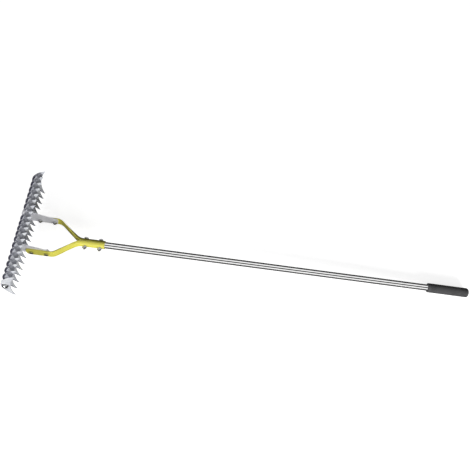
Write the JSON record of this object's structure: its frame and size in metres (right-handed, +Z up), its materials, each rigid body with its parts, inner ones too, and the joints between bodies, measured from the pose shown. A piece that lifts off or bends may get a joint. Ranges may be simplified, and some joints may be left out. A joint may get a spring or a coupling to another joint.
{
  "type": "thatch rake",
  "caption": "Long-handled thatch rake: a row of upright crescent blades on a rod, held by two bent arms on a straight tube handle with a rubber grip.",
  "frame": {"origin": "on the ground under the middle of the bounding box", "axes": "+Y along the handle from the head to the grip, +Z up from the ground, X along the row of blades"},
  "size_m": [0.4174, 1.5507, 0.1477],
  "materials": {
    "blade_steel": "bright rolled steel, ground edge",
    "spacer_steel": "bright steel tube",
    "plated_steel": "zinc plated",
    "bracket_steel": "zinc plated, satin",
    "yellow_paint": "glossy powder coat",
    "tube_steel": "polished stainless steel",
    "grip_rubber": "matt rubber"
  },
  "bodies": {
    "root": {"blade_01": "blade_steel", "blade_02": "blade_steel", "blade_03": "blade_steel", "blade_04": "blade_steel", "blade_05": "blade_steel", "blade_06": "blade_steel", "blade_07": "blade_steel", "blade_08": "blade_steel", "blade_09": "blade_steel", "blade_10": "blade_steel", "blade_11": "blade_steel", "blade_12": "blade_steel", "blade_13": "blade_steel", "blade_14": "blade_steel", "blade_15": "blade_steel", "blade_16": "blade_steel", "blade_17": "blade_steel", "blade_18": "blade_steel", "blade_19": "blade_steel", "spacer_01": "spacer_steel", "spacer_02": "spacer_steel", "spacer_03": "spacer_steel", "spacer_04": "spacer_steel", "spacer_05": "spacer_steel", "spacer_06": "spacer_steel", "spacer_07": "spacer_steel", "spacer_08": "spacer_steel", "spacer_09": "spacer_steel", "spacer_10": "spacer_steel", "spacer_11": "spacer_steel", "spacer_12": "spacer_steel", "spacer_13": "spacer_steel", "spacer_14": "spacer_steel", "spacer_15": "spacer_steel", "spacer_16": "spacer_steel", "spacer_17": "spacer_steel", "spacer_18": "spacer_steel", "tie_rod": "plated_steel", "rod_washers": "plated_steel", "rod_nuts": "plated_steel", "near_bracket": "bracket_steel", "far_bracket": "bracket_steel", "near_arm": "yellow_paint", "far_arm": "yellow_paint", "bracket_bolts": "plated_steel", "bracket_nuts": "plated_steel", "clamp_bolts": "plated_steel", "clamp_nuts": "plated_steel", "handle_tube": "tube_steel", "grip": "grip_rubber"}
  },
  "joints": []
}
